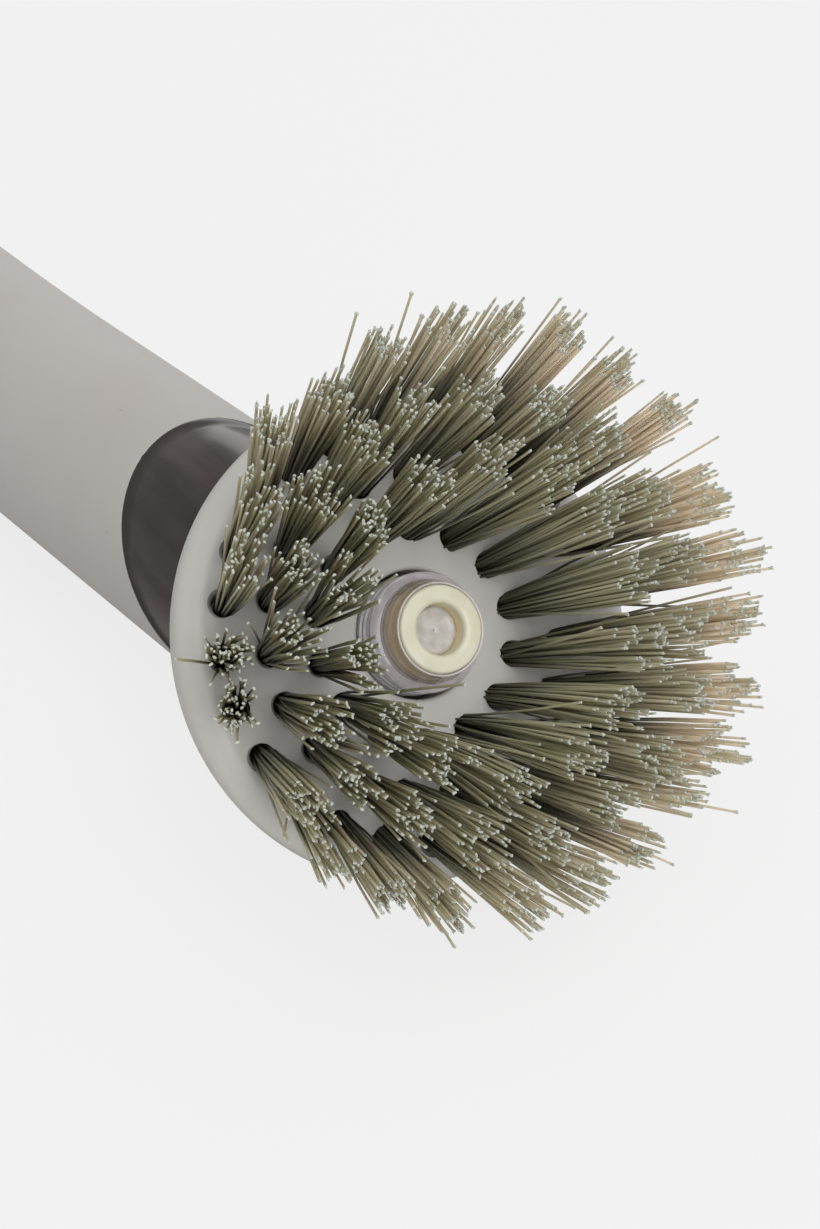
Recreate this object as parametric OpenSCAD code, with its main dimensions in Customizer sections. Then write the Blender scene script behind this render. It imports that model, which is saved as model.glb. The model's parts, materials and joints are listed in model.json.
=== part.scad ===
// Dish wand that holds and dispenses washing-up soap.
// It lies on its back, bristles up, with the head towards +X and the tail towards -X.
// Lengths along the handle are measured backwards from the bend, where the two axes cross.
// Lengths along the head are measured forwards from the same point.

/* [Handle] */
// Radius of the grip behind the head
grip_r = 16.4; // [15.5:0.1:17]
// Where the grip's slanted front edge crosses the handle's axis
grip_front = 27.6; // [26:0.2:30]
// Where the grip's soft swell for the palm starts
swell_start = 84; // [80:1:95]
// Back end of the grip
grip_end = 172; // [168:1:178]
// Radius of the bore inside the grip
grip_bore_r = 14.45; // [14.4:0.01:14.5]
// Outer radius of the soap tube
tube_r = 14.4; // [14.2:0.05:14.4]
// Inner radius of the soap tube
tube_bore_r = 12.6; // [12.4:0.1:12.8]

/* [Head] */
// Angle of the head's axis above the handle's axis, in degrees
head_angle = 34.2; // [32:0.1:36]
// Largest radius of the brush head
head_r = 30; // [29:0.5:31]
// Flat radius of the brush head's face
face_flat_r = 27; // [26.5:0.1:27.5]
// Distance of the face from the bend
face_t = 16.7; // [16.4:0.1:17]
// Distance of the head's back from the bend
back_t = 8.7; // [8.6:0.1:8.8]
// Distance of the head's parting line from the bend
parting_t = 11.6; // [11.5:0.1:11.7]
// Radius of the hole in the middle of the head
centre_hole_r = 7.9; // [7.8:0.05:8.1]

/* [Bristles] */
// Height of the trimmed bristle tips above the face
bristle_h = 24; // [20:0.5:26]
// Radius of a tuft hole
tuft_hole_r = 1.5; // [1.45:0.05:1.5]
// Radius of a strand across its corners
strand_r = 0.42; // [0.35:0.01:0.45]
// Strands round the middle one of each tuft
strands_round = 6; // [5:1:6]
// Radius of a tuft's outer strands at their tips
tuft_fan_r = 2.3; // [1.8:0.1:2.6]

/* [Nozzle] */
// Outer radius of the clear nozzle barrel at the face
barrel_r = 7.35; // [7.3:0.01:7.36]
// Outer radius of the clear barrel at its tip
barrel_tip_r = 6.35; // [6.2:0.05:6.5]
// Outer radius of the cream valve ring
ring_r = 5.34; // [5.3:0.01:5.36]
// Inner radius of the cream valve ring
ring_bore_r = 3.05; // [3:0.05:3.2]
// Distance of the nozzle's tip from the bend
tip_t = 23.8; // [23.5:0.1:24]

/* [Pump] */
// Distance of the thumb button's middle from the bend
button_s = 66; // [64:1:72]
// Length of the thumb button
button_l = 24; // [20:1:26]
// Width of the thumb button
button_w = 13; // [12:0.5:13]
// Travel of the thumb button
button_travel = 2.5; // [1.5:0.1:2.5]
// Radius of the pump chamber
chamber_r = 7; // [6.5:0.1:7]
// Number of curls of the return spring
spring_curls = 3; // [2:1:3]
// Radius of the return spring to the middle of its wire
spring_r = 4.8; // [4:0.1:5.5]
// Radius of the return spring's wire
spring_wire_r = 0.4; // [0.35:0.05:0.4]

/* [Tail cap] */
// Radius of the filler mouth
mouth_r = 10; // [9:0.1:10.5]
// Radius of the hanging hole in the cap
hang_r = 3.5; // [3:0.1:4]
// Thickness of the cap's finger tab
tab_w = 10; // [8:0.5:12]
// Radius of the finger tab's round end
tab_r = 9; // [8:0.5:10]

/* [Hidden] */
$fn = 96;
e = 0.01;
run = 0.07;
gap = 0.05;

// Edge of the head: a quarter round in front, a short wall and a flatter round behind
rim_t = face_t - (head_r - face_flat_r);
wall_t = rim_t - 0.8;
back_flat_r = head_r - 6;
front_round = [for (a = [90:-15:0]) [face_flat_r + (head_r - face_flat_r) * cos(a),
    rim_t + (face_t - rim_t) * sin(a)]];
back_round = [for (a = [0:15:90]) [back_flat_r + (head_r - back_flat_r) * cos(a),
    wall_t - (wall_t - back_t) * sin(a)]];

// The head's edge and the swollen tail of the grip rest on the same level
rest_drop = max([for (p = concat(front_round, back_round)) p[0] * cos(head_angle) - p[1] * sin(head_angle)]);
tail_r = rest_drop;

// Ring of tufts: radius at the face, number of tufts, angle of the first tuft, lean
INNER = [13, 14, 1.1, 13];
MIDDLE = [19.2, 19, 3.6, 14.5];
OUTER = [25, 25, 4.5, 19.5];
plate_t = face_t - parting_t;
melt_h = 0.7;
tuft_base_r = 0.72;

// Tail
collar_t = 3;
cap_start = grip_end + collar_t;
cap_skirt = 3;
cap_round = 3;
plug_l = 14;
tab_s = cap_start + 10;
gasket_h = 1.4;

// Neck
cut_t = -grip_front * cos(head_angle);
neck_bevel = 1.2;
neck_r = grip_r - 0.2;
neck_end_r = 14;
neck_inner_s = 42;
spigot_l = 9;
spigot_bore_r = 10.6;
neck_bore_r = 11.4;
NECK_SIDES = 56;
NECK_STEPS = 11;
boss_r = 9;
boss_t = parting_t - 0.5;
lug_r = 10;
lug_w = 3;
lug_t = 10.5;

// Pump, with depths measured from the handle's axis towards the bristle side
flange_step = 0.9;
frame_wall = 1.4;
flange_z = -13;
flange_h = 1;
seat_z = -11.65;
tray_floor_z = flange_z + flange_h + button_travel + 1.1;
tray_floor_h = 1.4;
cup_r = 8.8;
cup_top_z = 3;
chamber_top_z = 0.5;
piston_z = tray_floor_z + 0.5;
piston_h = 2;
port_z = -1.5;
port_r = 1.2;
duct_r = 2.2;
duct_bore_r = 1.3;
inlet_r = 4;
inlet_top_z = 7;
ball_r = 2;
ball_z = 3;
SPRING_RINGS = 8;
SPRING_SIDES = 6;

// Ends of the whole object along the handle, which set the frame's middle
tuft_reach = OUTER[0] + bristle_h * tan(OUTER[3]) + tuft_fan_r + strand_r;
front_x = (face_t + bristle_h) * cos(head_angle) + tuft_reach * sin(head_angle);
back_x = -(tab_s + tab_r);
middle_x = (front_x + back_x) / 2;

// Frames
module wand() {
    translate([-middle_x, 0, rest_drop]) children();
}

module along_handle(s = 0) {
    wand() rotate([0, -90, 0]) translate([0, 0, s]) children();
}

module along_head(t = 0) {
    wand() rotate([0, 90 - head_angle, 0]) translate([0, 0, t]) children();
}

module at_pump(z = 0) {
    wand() translate([-button_s, 0, z]) children();
}

// Shared shapes
module turned(points) {
    rotate_extrude() polygon(points);
}

module tube(outer, inner, h) {
    difference() {
        cylinder(h = h, r = outer);
        translate([0, 0, -e]) cylinder(h = h + 2 * e, r = inner);
    }
}

module o_ring(r, wire_r) {
    rotate_extrude() translate([r, 0]) circle(wire_r, $fn = 32);
}

module stadium(l, w, h) {
    linear_extrude(h) {
        square([l - w, w], center = true);
        for (side = [-1, 1]) translate([side * (l - w) / 2, 0]) circle(w / 2);
    }
}

function ease(x) = let (c = min(max(x, 0), 1)) c * c * (3 - 2 * c);
function grip_at(s) = grip_r + (tail_r - grip_r) * ease((s - swell_start) / (grip_end - 6 - swell_start));

// Grip and soap tube
module button_opening(slack = gap) {
    at_pump(-20) stadium(button_l + 5 + 2 * slack, button_w + 5 + 2 * slack, 15);
}

module grip_sleeve() {
    color([0.76, 0.75, 0.73]) difference() {
        along_handle() turned(concat(
            [[grip_bore_r, grip_front - 16], [grip_r, grip_front - 16]],
            [for (s = [swell_start:8:grip_end]) [grip_at(s), s]],
            [[tail_r, grip_end], [grip_bore_r, grip_end]]));
        along_head(cut_t) translate([-60, -60, 0]) cube([120, 120, 80]);
        button_opening();
    }
}

module reservoir_tube() {
    color([0.36, 0.33, 0.33]) difference() {
        along_handle(neck_inner_s) tube(tube_r, tube_bore_r, grip_end - 4 - neck_inner_s);
        button_opening();
    }
}

// Section of the neck at a distance t along the head: it follows the handle's slanted cut, then turns round
function neck_section(t, r) = let (
    w = ease((t - cut_t - neck_bevel) / (back_t - cut_t - neck_bevel)),
    x0 = t * tan(head_angle) * (1 - w),
    a = (1 - w) * r / cos(head_angle) + w * neck_end_r,
    b = (1 - w) * r + w * neck_end_r
) [for (i = [0:NECK_SIDES - 1]) let (p = 360 * i / NECK_SIDES) [x0 + a * cos(p), b * sin(p), t]];
neck_levels = concat([cut_t], [for (i = [0:NECK_STEPS]) cut_t + neck_bevel
    + (back_t - cut_t - neck_bevel) * i / NECK_STEPS]);

module loft(rings) {
    n = len(rings[0]);
    last = len(rings) - 1;
    polyhedron(
        points = [for (ring = rings) each ring],
        faces = concat(
            [[for (i = [0:n - 1]) i]],
            [for (k = [0:last - 1]) for (i = [0:n - 1]) let (j = (i + 1) % n)
                [k * n + i, (k + 1) * n + i, (k + 1) * n + j, k * n + j]],
            [[for (i = [n - 1:-1:0]) last * n + i]]));
}

module neck_housing() {
    color([0.30, 0.27, 0.28]) difference() {
        union() {
            along_head() loft([for (k = [0:len(neck_levels) - 1])
                neck_section(neck_levels[k], k == 0 ? neck_r - 0.9 : neck_r)]);
            intersection() {
                along_handle(grip_front - 16) cylinder(h = neck_inner_s - grip_front + 16, r = tube_r);
                along_head(cut_t - 40) translate([-60, -60, 0]) cube([120, 120, 40 + e]);
            }
            along_handle(neck_inner_s - e) cylinder(h = spigot_l, r = tube_bore_r - gap);
            along_head(back_t - e) cylinder(h = boss_t - back_t, r = boss_r);
            for (side = [-1, 1]) along_head((back_t + lug_t) / 2)
                translate([0, side * lug_r / 2, 0]) cube([lug_w, lug_r, lug_t - back_t], center = true);
        }
        along_handle(neck_inner_s - 8) cylinder(h = spigot_l + 9, r = spigot_bore_r);
        along_handle(4) cylinder(h = neck_inner_s - 11, r = neck_bore_r);
        along_head(-8) cylinder(h = 12, r = neck_bore_r - 1.4);
        along_head(0) cylinder(h = 20, r = barrel_r + gap);
        along_handle(neck_inner_s + 4) tube(tube_bore_r + 1, tube_bore_r - 1.05, 1.1);
    }
}

module neck_seal() {
    color([0.12, 0.12, 0.12]) along_handle(neck_inner_s + 4.55) o_ring(tube_bore_r - 0.52, 0.5);
}

module tail_collar() {
    color([0.36, 0.33, 0.33]) along_handle() turned([
        [mouth_r, grip_end - 12], [tube_bore_r - gap, grip_end - 12], [tube_bore_r - gap, grip_end - 4],
        [tube_r, grip_end - 4], [tube_r, grip_end], [tail_r, grip_end], [tail_r, cap_start], [mouth_r, cap_start]
    ]);
}

// Thumb button and pump
module grip_skin(r) {
    along_handle(button_s - 30) cylinder(h = 60, r = r);
}

module button_bezel() {
    color([0.36, 0.33, 0.33]) intersection() {
        difference() {
            at_pump(-20) stadium(button_l + 5, button_w + 5, 20 + seat_z);
            at_pump(-21) stadium(button_l + 0.2, button_w + 0.2, 20);
            at_pump(flange_z - gap) stadium(button_l + 2.2, button_w + 2.2, 10);
        }
        grip_skin(grip_r);
    }
}

module thumb_button() {
    color([0.76, 0.75, 0.73]) {
        intersection() {
            at_pump(-20) stadium(button_l, button_w, 20 + flange_z + e);
            grip_skin(grip_r - 0.15);
        }
        at_pump(flange_z) stadium(button_l + 2 * flange_step, button_w + 2 * flange_step, flange_h);
        at_pump(flange_z + flange_h - e) cylinder(h = 1, r = 3);
    }
}

module pump_piston() {
    stem_z = flange_z + flange_h + 1 - e;
    color([0.85, 0.85, 0.83]) difference() {
        union() {
            at_pump(stem_z) cylinder(h = piston_z - stem_z, r = 3);
            at_pump(piston_z - e) cylinder(h = piston_h + e, r = chamber_r - run);
        }
        at_pump(piston_z + 0.5) tube(chamber_r + 1, chamber_r - 0.95, 1);
    }
}

module piston_seal() {
    color([0.12, 0.12, 0.12]) at_pump(piston_z + 1) o_ring(chamber_r - 0.5, 0.43);
}

module pump_cup() {
    color([0.85, 0.85, 0.83]) difference() {
        union() {
            at_pump(seat_z) stadium(button_l + 5, button_w + 5, tray_floor_z + tray_floor_h - seat_z);
            at_pump(tray_floor_z) cylinder(h = cup_top_z - tray_floor_z, r = cup_r);
        }
        at_pump(seat_z - 1) stadium(button_l + 5 - 2 * frame_wall, button_w + 5 - 2 * frame_wall,
            tray_floor_z - seat_z + 1);
        at_pump(tray_floor_z - 1) cylinder(h = chamber_top_z - tray_floor_z + 1, r = chamber_r);
        at_pump(0) cylinder(h = 10, r = inlet_r);
        at_pump(port_z) rotate([0, 90, 0]) cylinder(h = 20, r = port_r);
        at_pump(port_z) translate([cup_r - 1.1, 0, 0]) rotate([0, 90, 0]) cylinder(h = 5, r = duct_r + gap);
    }
}

// Middle of the spring's wire at a turn u, and the six-sided ring of skin round it
spring_low = piston_z + piston_h;
spring_rise = (chamber_top_z - spring_low - 2 * spring_wire_r - 0.04) / spring_curls;
function spring_mid(u) = [spring_r * cos(360 * u), spring_r * sin(360 * u),
    spring_low + spring_wire_r + 0.02 + spring_rise * u];
function spring_ring(u) = [for (i = [0:SPRING_SIDES - 1]) let (a = 360 * i / SPRING_SIDES)
    spring_mid(u) + spring_wire_r * [cos(a) * cos(360 * u), cos(a) * sin(360 * u), sin(a)]];
spring_points = [for (i = [0:spring_curls * SPRING_RINGS]) spring_mid(i / SPRING_RINGS)];
spring_gap = min([for (i = [0:len(spring_points) - 1]) for (j = [i + SPRING_RINGS / 2:len(spring_points) - 1])
    norm(spring_points[i] - spring_points[j])]) - 2 * spring_wire_r;
echo(spring_gap = spring_gap);

module return_spring() {
    color([0.7, 0.7, 0.72]) at_pump(0)
        loft([for (i = [0:spring_curls * SPRING_RINGS]) spring_ring(i / SPRING_RINGS)]);
}

module inlet_seat() {
    color([0.85, 0.85, 0.83]) difference() {
        at_pump(chamber_top_z) cylinder(h = inlet_top_z - chamber_top_z, r = inlet_r - gap);
        at_pump(0) cylinder(h = 10, r = 1.4);
        at_pump(1.55) cylinder(h = 3.45, r = ball_r + run);
        at_pump(1.1) cube([2 * ball_r + 0.1, 1.2, 2.6], center = true);
    }
}

module inlet_ball() {
    color([0.6, 0.6, 0.62]) at_pump(ball_z) sphere(ball_r);
}

// One straight run of the duct, cut off by the mitre plane at its start
module duct_run(l) {
    past = duct_r * tan(head_angle / 2);
    intersection() {
        rotate([0, 90 - head_angle / 2, 0]) translate([0, 0, -past]) tube(duct_r, duct_bore_r, l + past);
        translate([0, -duct_r - 1, -l]) cube([l, 2 * duct_r + 2, 2 * l]);
    }
}

// The two runs meet in a mitre below the bend
module outlet_duct() {
    bend_x = port_z / tan(head_angle);
    color([0.85, 0.85, 0.83]) wand() translate([bend_x, 0, port_z]) rotate([0, -head_angle / 2, 0]) {
        duct_run(3.1 + norm([bend_x, port_z]));
        mirror([1, 0, 0]) duct_run(button_s - cup_r + 0.9 + bend_x);
    }
}

// Nozzle
module nozzle_barrel() {
    ring_pitch = 1.5;
    color([0.86, 0.84, 0.86, 0.5]) along_head() turned(concat(
        [[duct_r + gap, 2], [4.2, 2], [4.2, 4.4], [barrel_r, 4.4], [barrel_r, 7], [6.35, 7], [6.35, 8.1],
            [barrel_r, 8.1]],
        [for (i = [0:3]) for (q = [[0, 0], [-0.45, 0.15], [-0.45, 0.75], [0, 0.9]])
            [barrel_r + q[0], 13.2 + i * ring_pitch + q[1]]],
        [[barrel_r, 19.2], [barrel_tip_r, 19.7], [barrel_tip_r, tip_t - 0.7], [barrel_tip_r - 0.25, tip_t - 0.4],
            [ring_r + gap, tip_t - 0.4], [ring_r + gap, 17.5], [4.4, 17.5], [4.4, 5.4], [duct_r + gap, 5.4]]));
}

module nozzle_seal() {
    color([0.12, 0.12, 0.12]) along_head(7.55) o_ring(6.88, 0.5);
}

module slit_valve() {
    color([0.88, 0.88, 0.87, 0.8]) along_head() turned([
        [2.1, 17.55], [ring_r - 0.1, 17.55], [ring_r - 0.1, 18.45], [ring_bore_r - 0.1, 18.45],
        [ring_bore_r - 0.1, 21.2], [2.3, 21.9], [1.2, 22.2], [0.25, 22.3], [0.25, 21.7], [1.1, 21.6], [2.1, 20.9]
    ]);
}

module valve_ring() {
    color([0.88, 0.88, 0.78]) along_head() turned([
        [ring_bore_r, 18.5], [ring_r, 18.5], [ring_r, tip_t - 0.35], [ring_r - 0.35, tip_t],
        [ring_bore_r + 0.5, tip_t], [ring_bore_r, tip_t - 0.6]
    ]);
}

// Brush head
module tufts(ring) {
    for (i = [0:ring[1] - 1]) rotate([0, 0, ring[2] + 360 * i / ring[1]])
        translate([ring[0], 0, face_t]) rotate([0, ring[3], 0]) children();
}

module brush_plate() {
    color([0.74, 0.74, 0.72]) along_head() difference() {
        turned(concat([[centre_hole_r, parting_t], [centre_hole_r, face_t - 0.4],
            [centre_hole_r + 0.4, face_t]], front_round,
            [for (p = back_round) if (p[1] > parting_t) p],
            [[back_round[2][0], parting_t]]));
        for (ring = [INNER, MIDDLE, OUTER]) tufts(ring)
            translate([0, 0, -plate_t * 1.3]) cylinder(h = plate_t * 2, r = tuft_hole_r, $fn = 32);
    }
}

module melt_groove(ring, slack) {
    r = ring[0] - plate_t * tan(ring[3]);
    translate([0, 0, parting_t - melt_h]) tube(r + tuft_hole_r + 0.2 + slack, r - tuft_hole_r - 0.1 - slack,
        melt_h + slack);
}

module back_cover() {
    color([0.74, 0.74, 0.72]) along_head() difference() {
        turned(concat([[boss_r + run, back_t], [boss_r + run, boss_t], [centre_hole_r, boss_t],
            [centre_hole_r, parting_t], [back_round[2][0], parting_t]],
            [for (p = back_round) if (p[1] < parting_t) p]));
        for (ring = [INNER, MIDDLE, OUTER]) melt_groove(ring, 0.02);
        translate([0, 0, back_t]) cube([lug_w + 0.3, 2 * lug_r + 0.3, 2 * (lug_t - back_t) + 0.2], center = true);
    }
}

// One strand from the melted ring under the plate to its trimmed tip
module strand(base, tip) {
    d = tip - base;
    translate(base) rotate([0, acos(d[2] / norm(d)), atan2(d[1], d[0])]) cylinder(h = norm(d), r = strand_r, $fn = 4);
}

module tuft_ring(ring) {
    deep = -(plate_t + melt_h / 2) / cos(ring[3]);
    color([0.47, 0.46, 0.37]) along_head() {
        melt_groove(ring, 0);
        tufts(ring) {
            strand([0, 0, deep], [0, 0, bristle_h / cos(ring[3])]);
            for (i = [0:strands_round - 1]) let (a = 360 * i / strands_round)
                strand([tuft_base_r * cos(a), tuft_base_r * sin(a), deep],
                    [tuft_fan_r * cos(a), tuft_fan_r * sin(a), bristle_h / cos(ring[3])]);
        }
    }
}

module tufts_inner() {
    tuft_ring(INNER);
}

module tufts_middle() {
    tuft_ring(MIDDLE);
}

module tufts_outer() {
    tuft_ring(OUTER);
}

// Filler cap
module filler_cap() {
    color([0.76, 0.75, 0.73]) difference() {
        union() {
            along_handle() turned(concat(
                [[0, cap_start - plug_l], [mouth_r - 0.7, cap_start - plug_l],
                    [mouth_r - run, cap_start - plug_l + 0.7], [mouth_r - run, cap_start + gasket_h],
                    [mouth_r + 3.6, cap_start + gasket_h], [mouth_r + 3.6, cap_start], [tail_r, cap_start]],
                [for (a = [0:15:90]) [tail_r - cap_round + cap_round * cos(a),
                    cap_start + cap_skirt + cap_round * sin(a)]],
                [[0, cap_start + cap_skirt + cap_round]]));
            along_handle(cap_start + 2) translate([-tab_r, -tab_w / 2, 0]) cube([2 * tab_r, tab_w, tab_s - cap_start - 2]);
            along_handle(tab_s) rotate([90, 0, 0]) cylinder(h = tab_w, r = tab_r, center = true);
        }
        along_handle(tab_s + 1) rotate([90, 0, 0]) cylinder(h = tab_w + 2, r = hang_r, center = true);
    }
}

module cap_gasket() {
    color([0.12, 0.12, 0.12]) along_handle(cap_start) tube(mouth_r + 3.4, mouth_r + 0.1, gasket_h);
}

grip_sleeve();
reservoir_tube();
neck_housing();
neck_seal();
tail_collar();
button_bezel();
thumb_button();
pump_piston();
piston_seal();
pump_cup();
return_spring();
inlet_seat();
inlet_ball();
outlet_duct();
nozzle_barrel();
nozzle_seal();
slit_valve();
valve_ring();
brush_plate();
back_cover();
tufts_inner();
tufts_middle();
tufts_outer();
filler_cap();
cap_gasket();
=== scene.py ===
"""Dresses the dish wand: its grip, smoky neck, soap nozzle, brush head and tail cap."""
import json
import logging
import math
import random
from dataclasses import dataclass
from enum import Enum
from typing import Sequence

import bmesh
import bpy
from mathutils import Matrix, Vector


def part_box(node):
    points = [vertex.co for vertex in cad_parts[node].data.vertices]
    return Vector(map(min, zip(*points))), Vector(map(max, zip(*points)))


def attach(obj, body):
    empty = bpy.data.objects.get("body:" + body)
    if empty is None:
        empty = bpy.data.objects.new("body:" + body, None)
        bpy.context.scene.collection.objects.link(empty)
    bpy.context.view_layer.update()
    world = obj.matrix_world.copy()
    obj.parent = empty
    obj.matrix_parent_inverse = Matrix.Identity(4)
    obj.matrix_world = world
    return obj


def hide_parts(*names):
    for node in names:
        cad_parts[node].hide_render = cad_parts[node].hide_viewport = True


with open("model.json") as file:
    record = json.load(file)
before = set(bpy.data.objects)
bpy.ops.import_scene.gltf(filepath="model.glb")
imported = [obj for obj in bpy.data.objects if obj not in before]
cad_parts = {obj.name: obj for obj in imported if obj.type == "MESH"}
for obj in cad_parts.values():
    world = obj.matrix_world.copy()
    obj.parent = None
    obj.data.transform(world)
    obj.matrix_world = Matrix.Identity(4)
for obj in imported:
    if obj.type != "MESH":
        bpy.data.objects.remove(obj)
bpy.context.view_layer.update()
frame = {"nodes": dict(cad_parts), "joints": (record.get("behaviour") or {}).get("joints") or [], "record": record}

MM = 0.001
LOG = logging.getLogger("dish_wand")
Point2 = tuple[float, float]
Point3 = tuple[float, float, float]
Colour = tuple[float, float, float]


class Body(Enum):
    """The rigid bodies that the modelled pieces ride on."""

    WAND = "wand"
    BUTTON = "button"
    HEAD = "brush_head"
    CAP = "cap"


@dataclass(frozen=True)
class Frame:
    """The two axes of the wand, which cross at the bend.

    Lengths are in millimetres: s runs back along the handle and t forward along the head.
    """

    bend: Vector
    head_axis: Vector

    @classmethod
    def from_record(cls) -> "Frame":
        """Reads the bend from the soap tube's box and the head's axis from its joint.

        Returns:
            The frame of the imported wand.
        """
        tube_front_s = 42.0
        low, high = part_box("reservoir_tube")
        pull = next(j for j in frame["joints"] if j["name"] == "head_pull")
        bend = Vector((high[0] + tube_front_s * MM, 0.0, (low[2] + high[2]) / 2))
        return cls(bend, Vector(pull["axis"]).normalized())

    def along_handle(self, s: float = 0.0) -> Matrix:
        """Matrix from a local frame in metres, Z towards the tail and X up, to the row frame.

        Args:
            s: Distance of the frame behind the bend, in mm.

        Returns:
            The matrix.
        """
        axes = Matrix(((0.0, 0.0, -1.0), (0.0, 1.0, 0.0), (1.0, 0.0, 0.0))).to_4x4()
        return Matrix.Translation(self.bend + Vector((-s * MM, 0.0, 0.0))) @ axes

    def along_head(self, t: float = 0.0) -> Matrix:
        """Matrix from a local frame in metres, Z along the head's axis and X away from the grip.

        Args:
            t: Distance of the frame in front of the bend, in mm.

        Returns:
            The matrix to the row frame.
        """
        n = self.head_axis
        axes = Matrix(((n.z, 0.0, n.x), (0.0, 1.0, 0.0), (-n.x, 0.0, n.z))).to_4x4()
        return Matrix.Translation(self.bend + n * (t * MM)) @ axes

    def tilt(self) -> float:
        """Angle of the head's axis above the handle's axis, in radians."""
        return math.atan2(self.head_axis.z, self.head_axis.x)


WAND = Frame.from_record()


class Wire:
    """A shader socket that Python operators join with Math nodes."""

    def __init__(self, tree: bpy.types.NodeTree, socket: bpy.types.NodeSocket) -> None:
        """Wraps one output socket of a tree."""
        self.tree = tree
        self.socket = socket

    def _math(self, operation: str, *values: "Wire | float") -> "Wire":
        """Adds a Math node.

        Args:
            operation: The node's operation.
            values: What its inputs get.

        Returns:
            The node's result.
        """
        node = self.tree.nodes.new("ShaderNodeMath")
        node.operation = operation
        for index, value in enumerate(values):
            if isinstance(value, Wire):
                self.tree.links.new(value.socket, node.inputs[index])
            else:
                node.inputs[index].default_value = value
        return Wire(self.tree, node.outputs[0])

    def __add__(self, other: "Wire | float") -> "Wire":
        """Sum."""
        return self._math("ADD", self, other)

    def __mul__(self, other: "Wire | float") -> "Wire":
        """Product."""
        return self._math("MULTIPLY", self, other)

    def __sub__(self, other: "Wire | float") -> "Wire":
        """Difference."""
        return self._math("SUBTRACT", self, other)

    def __rsub__(self, other: float) -> "Wire":
        """Reflected difference."""
        return self._math("SUBTRACT", other, self)

    __radd__ = __add__
    __rmul__ = __mul__

    def step(self, low: float, high: float) -> "Wire":
        """Rises smoothly from 0 at low to 1 at high.

        Args:
            low: Value at which the result leaves 0.
            high: Value at which the result reaches 1.

        Returns:
            The mask.
        """
        node = self.tree.nodes.new("ShaderNodeMapRange")
        node.interpolation_type = "SMOOTHSTEP"
        self.tree.links.new(self.socket, node.inputs["Value"])
        node.inputs["From Min"].default_value = low
        node.inputs["From Max"].default_value = high
        return Wire(self.tree, node.outputs["Result"])


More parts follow.
